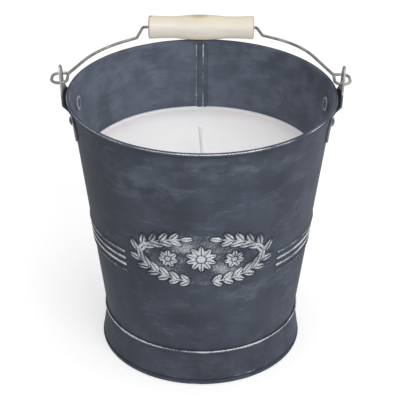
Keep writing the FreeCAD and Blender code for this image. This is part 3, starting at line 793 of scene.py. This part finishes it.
def ornament_relief(bearing, height):
    """The whole ornament on the wall's unrolled front, and the wiped field round it."""
    run = (bearing - FRONT) * wall_outside(WREATH_MIDDLE)
    rise = height - WREATH_MIDDLE
    relief = np.zeros_like(run)
    for aside, up, radius, petals in FLOWERS:
        relief = np.maximum(relief, flower_relief(run - aside, rise - up, radius, petals))
    for side in (-1, 1):
        relief = np.maximum(relief, sprig_relief(run, rise, side))
    bucket = settings().bucket
    across = bucket.wreath_width + LEAF_LENGTH * 0.6
    up = bucket.wreath_height + LEAF_LENGTH * 0.5
    field = 1.0 - eased(np.hypot(run / across, rise / up), 0.82, 1.05)
    return relief, field


def outlines(relief):
    """Dark outlines round raised forms, two mesh steps wide: painted shade at their feet, partly
    paint that wiping leaves there.
    """
    near = relief.copy()
    for rows in range(-2, 3):
        for columns in range(-2, 3):
            if rows**2 + columns**2 <= 5:
                near = np.maximum(near, np.roll(relief, (rows, columns), (0, 1)))
    return eased(near, 0.2, 0.7) * (1.0 - eased(relief, 0.1, 0.5))


def bead_relief(bearing, height):
    """The four rolled beads, which end rounded beside the ornament: form, wear and painted shade in
    their grooves.
    """
    relief, worn, groove_shade = np.zeros((3, *bearing.shape))
    from_front = np.abs(off_front(bearing))
    past_end = np.clip((BEAD_END - from_front) * wall_outside(BEAD_TOP), 0.0, None)
    for index, (left, right) in enumerate(zip(BEAD_WEAR["left"], BEAD_WEAR["right"])):
        wear = np.where(np.cos(bearing) < 0, left, right)
        off = height - (BEAD_TOP - index * BEAD_PITCH)
        distance = np.hypot(off, past_end) / BEAD_HALF_WIDTH
        arch = np.clip(1.0 - distance**2, 0.0, 1.0)
        relief = np.maximum(relief, arch)
        worn = np.maximum(worn, eased(arch, 0.1, 0.7) * wear)
        groove_shade = np.maximum(groove_shade, bell(distance, 1.15, 0.3))
    return relief, worn, groove_shade


# Operators, one for each piece or group


class BuildBucketWall(bpy.types.Operator):
    """Tapered wall with its rolled rim, flange, beads and embossed ornament"""

    bl_idname = "candle.build_bucket_wall"
    bl_label = "Bucket wall"

    # Rows lie close together between these heights, where the relief is
    FINE_LOW, FINE_HIGH = 0.086, 0.1505
    FINE_STEP, COARSE_STEP, INNER_STEP = 0.55 * MM, 3.5 * MM, 12 * MM
    # Columns lie close together this far from the front
    FINE_REACH = math.radians(46)
    FINE_TURN, COARSE_TURN = math.radians(0.36), math.radians(1.5)
    # How far the flange at the waist reaches out
    FLANGE = 0.9 * MM
    # Middle and width of the roll's crest, worn and with a painted highlight, and of the painted
    # shade on its top; 0 degrees is outward, 90 up
    CREST, TOP = (42.0, 17.0), (95.0, 25.0)
    # More wear and painted highlight along the roll, at the front and on the left: amount, bearing
    # from the front and width
    ROLL_WEAR_AND_HIGHLIGHT = ((0.4, 0.0, 0.35), (0.5, -1.65, 0.3))

    def outline(self):
        """Closed section and the points of it that lie on the outer face."""
        bucket = settings().bucket
        rim, waist, middle = rim_height(), WALL_LOW.z, rim_radius()
        sheet, curl = bucket.sheet, bucket.curl_radius
        fold = waist + 2 * sheet
        heights = [waist + sheet, fold + 0.0005, fold + 0.0022]
        heights += spaced(heights[-1], self.FINE_LOW, self.COARSE_STEP)[1:]
        heights += spaced(self.FINE_LOW, self.FINE_HIGH, self.FINE_STEP)[1:]
        heights += spaced(self.FINE_HIGH, rim - 0.004, self.COARSE_STEP)[1:] + [rim - 0.0015, rim]
        outer = [(wall_outside(height), height) for height in heights]
        inner_curl = arc((middle, rim), curl - sheet, 180, -120, 20)[1:]
        outer_curl = arc((middle, rim), curl, -120, 180, 30)
        inner_heights = reversed(spaced(waist, rim, self.INNER_STEP)[:-1])
        inside = [(wall_outside(height) - sheet, height) for height in inner_heights]
        edge = bucket.waist_radius + self.FLANGE
        flange = [(edge, waist), (edge, waist + sheet)]
        return outer, outer + inner_curl + outer_curl + inside + flange

    def bearings(self):
        """Close together in front, where the ornament is, and wider round the back."""
        first, last = FRONT - self.FINE_REACH, FRONT + self.FINE_REACH
        close = spaced(first, last, self.FINE_TURN)
        return close + spaced(last, first + math.tau, self.COARSE_TURN)[1:-1]

    def face_masks(self, turns, heights):
        """Offset, rub and shade of the outer face, from its ornament and beads."""
        bucket = settings().bucket
        ornament, field = ornament_relief(turns, heights)
        beads, beads_worn, bead_groove_shade = bead_relief(turns, heights)
        offset = ornament * bucket.relief_height + beads * bucket.bead_height
        # The ornament is worn most in its middle
        centred = 0.78 + 0.22 * bell(np.degrees(turns - FRONT), 0.0, 22.0)
        raised = (0.56 * ornament + 0.4 * ornament**2) * centred
        rub = np.maximum(raised + field * 0.4 * (1.0 - ornament), beads_worn)
        # Painted shade in the corner over the waist, and painted shadow under the rim
        waist = WALL_LOW.z + 2 * bucket.sheet
        corner = 1.0 - eased(heights, waist + 0.0003, waist + 0.0018)
        under_rim_shadow = eased(heights - rim_height(), -0.004, -0.0015)
        corner_shade = np.maximum(0.4 * corner, 0.5 * under_rim_shadow)
        # Painted shade round the relief, beside the beads and in the corners
        shade = np.maximum(np.maximum(outlines(ornament), bead_groove_shade * 0.5), corner_shade)
        return offset, rub, shade

    def roll_masks(self, turns, rise, out):
        """Rub (wear and a painted highlight on the crest) and painted shade (on the top, and
        painted shadow under the roll) of the rim's roll; on_roll marks it, and turned is the angle
        round it.
        """
        curl = settings().bucket.curl_radius
        turned = np.degrees(np.arctan2(rise, out))
        on_roll = (np.hypot(rise, out) > curl - 0.1 * MM) & (out > -1.01 * curl) & (rise > -0.002)
        crest_wear_and_highlight = bell(turned, *self.CREST) * on_roll
        top = bell(turned, *self.TOP) * on_roll
        under_roll_shadow = (1.0 - eased(turned, -25.0, 15.0)) * eased(turned, -130.0, -110.0) * on_roll
        uneven = 0.55 + 0.1 * np.sin(turns * 7.0) * np.sin(turns * 17.0)
        for amount, place, width in self.ROLL_WEAR_AND_HIGHLIGHT:
            uneven = uneven + amount * bell(off_front(turns), place, width)
        # Painted highlight with wear along the crest; painted shade on the top and painted shadow
        # under the roll
        rub = crest_wear_and_highlight * 0.95 * uneven
        shade = np.maximum(under_roll_shadow * 0.75, top * 0.3)
        return rub, shade, on_roll, turned

    def execute(self, context):
        outer, section = self.outline()
        bearings = self.bearings()
        turns, heights, radii = section_grid(section, bearings)
        offset, rub, shade = np.zeros((3, *turns.shape))
        face = slice(0, len(outer))
        offset[face], rub[face], shade[face] = self.face_masks(turns[face], heights[face])
        rise, out = heights - rim_height(), radii - rim_radius()
        roll_wear_and_highlight, roll_painted_shade, on_roll, turned = self.roll_masks(turns, rise, out)
        # Painted light: the inside and the roll's inner side are lightened with thin paint, as lit
        # from above
        past_face = (np.arange(len(section)) >= len(outer))[:, None]
        inside = past_face & (turned < 175.0) & (out < 0.0)
        masks = {
            "rub": np.maximum(rub, roll_wear_and_highlight),
            "shade": np.maximum(shade, roll_painted_shade),
            "thin": 0.55 * (inside | (turned > 120.0) & on_roll),
        }
        piece = lathe("embossed_wall", section, bearings, offset, masks)
        paint = dark_metal_material("wiped_wall_paint", WIPED_PATCHES, DARKENED_PATCHES)
        join_model(piece, paint, "bucket", "dark_metal", "bucket_wall")
        return {"FINISHED"}


class BuildLapSeam(bpy.types.Operator):
    """Folded seam strip down the inside of the wall at the back"""

    bl_idname = "candle.build_lap_seam"
    bl_label = "Wall seam"

    # Across the wall, how far it stands proud (both in millimetres), rub, and painted shade in its
    # dark bands
    PROFILE = (
        (-5.2, -0.3, 0.0, 0.0), (-5.2, 0.25, 0.34, 0.0), (-4.6, 0.45, 0.4, 0.0),
        (-4.0, 0.4, 0.34, 0.0), (-3.6, 0.3, 0.0, 0.3), (-3.4, 0.9, 0.0, 0.35),
        (-3.0, 1.1, 0.05, 0.25), (-0.1, 1.0, 0.0, 0.3), (0.3, 0.6, 0.0, 0.5),
        (0.6, 1.05, 0.36, 0.0), (1.1, 1.05, 0.36, 0.0), (1.4, 0.7, 0.0, 0.4),
        (1.8, 1.0, 0.0, 0.3), (3.4, 1.1, 0.05, 0.25), (3.7, 0.85, 0.0, 0.4),
        (3.9, 0.3, 0.0, 0.35), (5.0, 0.2, 0.0, 0.1), (5.2, -0.3, 0.0, 0.0),
    )

    # How far it ends under the rim's middle, and starts over the wax's lowest point
    TOP_GAP, LOW_GAP = 1.5 * MM, 4.0 * MM
    STEP = 2.5 * MM

    def execute(self, context):
        top = rim_height() - self.TOP_GAP
        level = WAX_HIGH.z
        work = bmesh.new()
        layers = work.verts.layers.float
        rub, shade, thin = (layers.new(label) for label in ("rub", "shade", "thin"))
        rings = []
        for height in spaced(WAX_LOW.z + self.LOW_GAP, top, self.STEP):
            ring = []
            radius = wall_outside(height) - settings().bucket.sheet
            # The right ridge is worn bright at both ends, the left edge only near the rim
            at_top = eased(height, top - 0.012, top - 0.007)
            at_wax = 1.0 - eased(height, level + 0.008, level + 0.018)
            for across, proud, worn, dark in self.PROFILE:
                turn = BACK - across * MM / radius
                reach = radius - proud * MM
                place = (reach * math.cos(turn), reach * math.sin(turn), height)
                vertex = work.verts.new(place)
                if 0.5 < across < 1.2:
                    worn = worn + 0.6 * at_top + 0.25 * at_wax
                elif across < -4.2:
                    worn = worn + 0.2 * at_top
                vertex[rub] = worn
                # Painted shade in the seam's dark bands
                vertex[shade] = dark
                # Painted light: the seam is lightened with thin paint like the wall's inside, its
                # left edge most
                vertex[thin] = 1.0 if across < -3.9 else 0.5
                ring.append(vertex)
            rings.append(ring)
        for lower, upper in zip(rings, rings[1:]):
            for index in range(len(ring)):
                after = (index + 1) % len(ring)
                work.faces.new((lower[index], lower[after], upper[after], upper[index]))
        work.faces.new(rings[0])
        work.faces.new(rings[-1])
        mesh = bpy.data.meshes.new("wall_seam")
        work.to_mesh(mesh)
        work.free()
        piece = finish_mesh("wall_seam", mesh)
        join_model(piece, dark_metal_material("wiped_seam_paint"), "bucket", "dark_metal")
        return {"FINISHED"}


class BuildFoot(bpy.types.Operator):
    """Flared foot with its fold over the waist flange and its rolled hem"""

    bl_idname = "candle.build_foot"
    bl_label = "Foot ring"

    HEM = 1.7 * MM
    # Groove and lip over the hem, in from the foot's edge and up, in millimetres
    LIP = ((1.25, 3.5), (1.3, 3.85), (0.8, 4.5), (0.7, 5.2))

    # Heights of the worn lip and hem edge and of the painted shade in the groove, each with its
    # width
    LIP_WEAR, HEM_WEAR, GROOVE = (0.0052, 0.0008), (0.0011, 0.0006), (0.0036, 0.0007)
    FLARE_ROWS = 8

    def outline(self):
        bucket = settings().bucket
        sheet, skirt, waist, foot = bucket.sheet, bucket.waist_radius, WALL_LOW.z, FOOT_RADIUS
        lip = skirt + 0.4 * MM
        wrap = skirt + 1.0 * MM
        corner = 0.35 * MM
        middle = wrap + sheet - corner
        points = [(lip, waist + sheet), (wrap, waist + sheet), (wrap, waist - sheet)]
        inner_foot = (foot - 2.2 * MM, 4.0 * MM)
        points += self.flared((skirt - sheet, waist - sheet), inner_foot)
        points += arc((foot - self.HEM, self.HEM + 0.00001), self.HEM, 115, 415, 30)
        points += [(foot - inward * MM, up * MM) for inward, up in self.LIP]
        outer_foot = (foot - 0.8 * MM, 6.0 * MM)
        points += self.flared(outer_foot, (skirt, waist - 2 * sheet))
        points += arc((middle, waist - 2 * sheet + corner), corner, -90, 0, 5)
        points += arc((middle, waist + 2 * sheet - corner), corner, 0, 90, 5)
        return points + [(lip, waist + 2 * sheet)]

    def flared(self, first, last):
        """Straight skirt wall, with a row every few millimetres."""
        rows = self.FLARE_ROWS
        points = []
        for row in range(rows + 1):
            points.append(tuple(a + (b - a) * row / rows for a, b in zip(first, last)))
        return points

    def execute(self, context):
        points = self.outline()
        bearings = spaced(0.0, math.tau, math.radians(0.9))[:-1]
        turns, heights, radii = section_grid(points, bearings)
        waist = WALL_LOW.z
        inside = settings().bucket.waist_radius + 0.7 * MM
        seam = eased(heights, waist - 0.7 * MM, waist + 0.3 * MM)
        seam = seam * eased(radii, inside, inside + 0.7 * MM)
        uneven = 0.8 + 0.14 * np.sin(turns * 5.0 + 1.3)
        uneven = uneven + 0.12 * np.sin(turns * 13.0) * np.sin(turns * 29.0)
        patchy = np.sin(turns * 11.0 + 0.4) * np.sin(turns * 23.0 + 1.0)
        patchy = eased(patchy + 0.5 * np.sin(turns * 41.0), -0.3, 0.6)
        from_front = off_front(turns)
        outside = eased(radii, FOOT_RADIUS - 0.0018, FOOT_RADIUS - 0.0008)
        lip = 0.6 * bell(heights, *self.LIP_WEAR) * bell(from_front, 0.5, 0.4)
        hem = bell(heights, *self.HEM_WEAR) * (0.25 + 0.35 * bell(from_front, 0.0, 0.45))
        worn_edges = np.maximum(lip, hem) * outside * (0.55 + 0.45 * patchy)
        rub = np.maximum(seam * 0.95 * uneven, worn_edges)
        # Painted shade in the groove over the hem
        reached = eased(radii, FOOT_RADIUS - 0.0022, FOOT_RADIUS - 0.0014)
        groove_shade = 0.85 * bell(heights, *self.GROOVE) * reached
        piece = lathe("flared_foot", points, bearings, masks={"rub": rub, "shade": groove_shade})
        paint = dark_metal_material("wiped_foot_paint")
        join_model(piece, paint, "bucket", "dark_metal", "foot_ring")
        return {"FINISHED"}


class BuildWax(bpy.types.Operator):
    """Poured wax with its low meniscus and a slightly uneven top"""

    bl_idname = "candle.build_wax"
    bl_label = "Wax"

    # Its underside, over the solid's lowest point; its gap to the wall; its bore round the wick
    UNDERSIDE, GAP, BORE = 2.2 * MM, 0.3 * MM, 1.5 * MM
    MENISCUS = 3.2 * MM

    def execute(self, context):
        level = WICK_HIGH.z - WICK_FREE
        climb = WAX_HIGH.z - level
        bottom = WAX_LOW.z + self.UNDERSIDE
        room = settings().bucket.sheet + self.GAP
        edge_radius = wall_outside(WAX_HIGH.z) - room
        points = [(self.BORE, bottom)]
        for height in spaced(bottom, WAX_HIGH.z, 12 * MM):
            points.append((wall_outside(height) - room, height))
        for share in (0.15, 0.35, 0.6, 1.0):
            radius = edge_radius - 0.2 * MM - self.MENISCUS * share
            points.append((radius, level + climb * (1 - share) ** 2))
        flat_edge = edge_radius - self.MENISCUS - 0.6 * MM
        for radius in reversed(spaced(self.BORE, flat_edge, 3 * MM)):
            points.append((radius, level))
        bearings = spaced(0.0, math.tau, math.radians(3.0))[:-1]
        piece = lathe("poured_wax", points, bearings)
        for vertex in piece.data.vertices:
            if vertex.co.z > level - 0.0001:
                distance = math.hypot(vertex.co.x, vertex.co.y)
                swell = math.sin(vertex.co.x * 46 + 0.6) * math.cos(vertex.co.y * 39 - 0.4)
                settle = math.cos(min(distance / edge_radius, 1.0) * math.pi / 2)
                dip = 0.9 * bell(distance, 0.0, 0.018)
                vertex.co.z += MM * (0.35 * swell * settle - dip)
        join_model(piece, wax_material(), "bucket", "wax", "wax_fill")
        return {"FINISHED"}


class BuildWick(bpy.types.Operator):
    """Braided wick: three strands wound along a slightly leaning line"""

    bl_idname = "candle.build_wick"
    bl_label = "Wick"

    SIZES = {"Strand Radius": 0.0007, "Winding Radius": 0.00058, "Turns": 22.0}
    STRANDS = 3
    # How far the tip leans to the left, and how deep the strands reach into the wax
    LEAN, DEPTH = 1.6 * MM, 20 * MM
    # How far under the solid's tip their line ends
    TIP = 0.6 * MM

    def strand_tree(self, material):
        """Node tree that winds strands round the given line."""
        tree = bpy.data.node_groups.new("wound_strands", "GeometryNodeTree")
        interface = tree.interface
        interface.new_socket("Geometry", in_out="INPUT", socket_type="NodeSocketGeometry")
        for label in self.SIZES:
            interface.new_socket(label, in_out="INPUT", socket_type="NodeSocketFloat")
        interface.new_socket("Geometry", in_out="OUTPUT", socket_type="NodeSocketGeometry")
        tools = NodeTree(tree)
        start = tools.add("NodeGroupInput").outputs
        end = tools.add("NodeGroupOutput").inputs

        def chain(kind, inputs):
            return tools.add(f"GeometryNode{kind}", inputs).outputs[0]

        line = chain("MeshToCurve", {"Mesh": start["Geometry"]})
        points = chain("ResampleCurve", {"Curve": line, "Count": 240})
        share = tools.add("GeometryNodeSplineParameter").outputs["Factor"]
        wound = tools.times(tools.times(share, start["Turns"]), math.tau)
        joined = tools.add("GeometryNodeJoinGeometry")
        inputs = {"Resolution": 8, "Radius": start["Strand Radius"]}
        section = chain("CurvePrimitiveCircle", inputs)
        for strand in range(self.STRANDS):
            turn = tools.plus(wound, strand * math.tau / self.STRANDS)
            inputs = {
                "X": tools.times(tools.math("COSINE", turn), start["Winding Radius"]),
                "Y": tools.times(tools.math("SINE", turn), start["Winding Radius"]),
            }
            shift = tools.add("ShaderNodeCombineXYZ", inputs).outputs["Vector"]
            moved = chain("SetPosition", {"Geometry": points, "Offset": shift})
            inputs = {"Curve": moved, "Profile Curve": section, "Fill Caps": True}
            tools.feed(joined.inputs["Geometry"], chain("CurveToMesh", inputs))
        real = chain("RealizeInstances", {"Geometry": joined.outputs["Geometry"]})
        tools.feed(end["Geometry"], chain("SetMaterial", {"Geometry": real, "Material": material}))
        return tree

    def execute(self, context):
        material = cotton_material()
        level = WICK_HIGH.z - WICK_FREE
        places = []
        for height in spaced(level - self.DEPTH, WICK_HIGH.z - self.TIP, 1.5 * MM):
            share = max(0.0, (height - level) / WICK_FREE)
            places.append((-self.LEAN * share**2, 0.0, height))
        mesh = bpy.data.meshes.new("wick_line")
        mesh.from_pydata(places, [(index, index + 1) for index in range(len(places) - 1)], [])
        line = link_object("wick_line", mesh)
        modifier = line.modifiers.new("strands", "NODES")
        modifier.node_group = self.strand_tree(material)
        for socket in modifier.node_group.interface.items_tree:
            if socket.name in self.SIZES:
                modifier[socket.identifier] = self.SIZES[socket.name]
        depsgraph = context.evaluated_depsgraph_get()
        wound = bpy.data.meshes.new_from_object(line.evaluated_get(depsgraph))
        bpy.data.objects.remove(line)
        wound.name = "braided_wick"
        piece = finish_mesh("braided_wick", wound)
        join_model(piece, material, "bucket", "cotton", "wick")
        return {"FINISHED"}


class FinishMetalParts(bpy.types.Operator):
    """Finishes of the ears, rivets, bail, bottom and wick tab"""

    bl_idname = "candle.finish_metal_parts"
    bl_label = "Ears, rivets and bail"

    def execute(self, context):
        colors = settings().finish
        nodes = frame["nodes"]
        ears = zinc_material("zinc_ears", colors.zinc, dark_below=rim_height() + 0.003)
        for side, middle in (("left", math.pi), ("right", 0.0)):
            give_node_material(nodes[f"{side}_ear"], ears)
            for place, towards in (("front", -1), ("back", 1)):
                bearing = middle + towards * math.cos(middle) * RIVET_SPREAD
                label = f"{side}_{place}_rivet"
                give_node_material(nodes[label], self.rivet_paint(label, bearing))
        give_node_material(nodes["bail_wire"], zinc_material("dull_wire", colors.bail_steel))
        give_node_material(nodes["wick_tab"], zinc_material("tinned_tab", colors.zinc))
        give_node_material(nodes["bottom_disc"], dark_metal_material("wiped_bottom_paint"))
        return {"FINISHED"}

    def rivet_paint(self, label, bearing):
        """The rivet's paint, centred where it passes square through the tapered wall."""
        height = rim_height() - RIVET_DROP
        radius = wall_outside(height)
        slope = math.atan((wall_outside(height) - wall_outside(height - 0.1)) / 0.1)
        ahead = (math.cos(bearing), math.sin(bearing))
        middle = (radius * ahead[0], radius * ahead[1], height)
        axis = (ahead[0] * math.cos(slope), ahead[1] * math.cos(slope), -math.sin(slope))
        return rivet_material(f"{label}_paint", middle, axis)


class FinishGrip(bpy.types.Operator):
    """Finish of the turned grip"""

    bl_idname = "candle.finish_grip"
    bl_label = "Grip"

    def execute(self, context):
        give_node_material(frame["nodes"]["wooden_grip"], birch_material())
        return {"FINISHED"}


def give_node_material(node, material):
    """A construction node keeps its mesh and gets this material."""
    if not node.material_slots:
        node.data.materials.append(material)
    for slot in node.material_slots:
        slot.material = material


class BuildStage(bpy.types.Operator):
    """Floor, world, lamps and camera"""

    bl_idname = "candle.build_stage"
    bl_label = "Stage"

    FLOOR_HALF = 6.0
    LAMPS_AIM = Vector((0.0, 0.0, 0.12))
    # Each lamp: name, setting of its watts, place and size
    LAMPS = (
        ("overhead", "overhead", (0.0, -0.1, 2.0), (1.6, 1.6)),
        ("key", "key", (0.8, -1.45, 1.0), (1.2, 1.2)),
        ("right_fill", "fill", (1.5, -0.2, 0.9), (0.8, 1.2)),
    )

    def add_lamps(self, stage):
        for name, setting, place, size in self.LAMPS:
            data = bpy.data.lights.new(name, "AREA")
            data.shape = "RECTANGLE"
            data.size, data.size_y = size
            data.energy = getattr(stage, setting)
            lamp = link_object(name, data)
            lamp.location = place
            towards = self.LAMPS_AIM - Vector(place)
            lamp.rotation_euler = towards.to_track_quat("-Z", "Y").to_euler()

    def add_floor(self):
        half = self.FLOOR_HALF
        mesh = bpy.data.meshes.new("floor")
        corners = [(-half, -half, 0), (half, -half, 0), (half, half, 0), (-half, half, 0)]
        mesh.from_pydata(corners, [], [(0, 1, 2, 3)])
        mesh.materials.append(floor_material())
        floor = link_object("floor", mesh)

    def add_world(self, strength):
        world = bpy.data.worlds.new("studio")
        world.use_nodes = True
        tools = NodeTree(world.node_tree)
        background = world.node_tree.nodes["Background"]
        path = tools.add("ShaderNodeLightPath").outputs
        seen = tools.math("MAXIMUM", path["Is Camera Ray"], path["Is Transmission Ray"])
        level = tools.plus(strength, tools.times(seen, 1.0 - strength))
        tools.fill(background, {"Strength": level, "Color": WHITE})
        bpy.context.scene.world = world

    def add_camera(self, stage):
        data = bpy.data.cameras.new("camera")
        data.lens = stage.lens
        data.sensor_width = 36.0
        data.clip_end = 20.0
        camera = link_object("camera", data)
        back = stage.distance * math.cos(stage.elevation)
        up = stage.distance * math.sin(stage.elevation)
        camera.location = (stage.sideways, -back, rim_height() + up)
        turn = Euler((math.pi / 2 - stage.pitch, 0.0, 0.0)).to_matrix()
        roll = Euler((0.0, 0.0, stage.roll)).to_matrix()
        camera.rotation_euler = (turn @ roll).to_euler()
        bpy.context.scene.camera = camera

    def execute(self, context):
        stage = settings().stage
        self.add_floor()
        self.add_world(stage.sky)
        self.add_lamps(stage)
        self.add_camera(stage)
        context.scene.view_settings.view_transform = "Standard"
        return {"FINISHED"}


STEPS = (
    BuildBucketWall,
    BuildLapSeam,
    BuildFoot,
    BuildWax,
    BuildWick,
    FinishMetalParts,
    FinishGrip,
    BuildStage,
)


class CandleBucketPanel(bpy.types.Panel):
    """Lists the steps that dress the candle bucket"""

    bl_label = "Candle Bucket"
    bl_idname = "VIEW3D_PT_candle_bucket"
    bl_space_type = "VIEW_3D"
    bl_region_type = "UI"
    bl_category = "Candle Bucket"

    def draw(self, context):
        chosen = context.scene.candle_bucket
        for group in (chosen.bucket, chosen.finish, chosen.stage):
            box = self.layout.box()
            for name in group.bl_rna.properties.keys():
                if name not in ("rna_type", "name"):
                    box.prop(group, name)
        for step in STEPS:
            self.layout.operator(step.bl_idname)


CLASSES = (BucketSettings, FinishSettings, StageSettings, CandleSettings, *STEPS, CandleBucketPanel)


def register():
    for cls in CLASSES:
        bpy.utils.register_class(cls)
    bpy.types.Scene.candle_bucket = bpy.props.PointerProperty(type=CandleSettings)


def unregister():
    del bpy.types.Scene.candle_bucket
    for cls in reversed(CLASSES):
        bpy.utils.unregister_class(cls)


def main():
    register()
    for step in STEPS:
        group, name = step.bl_idname.split(".")
        getattr(getattr(bpy.ops, group), name)()


if __name__ == "__main__":
    main()
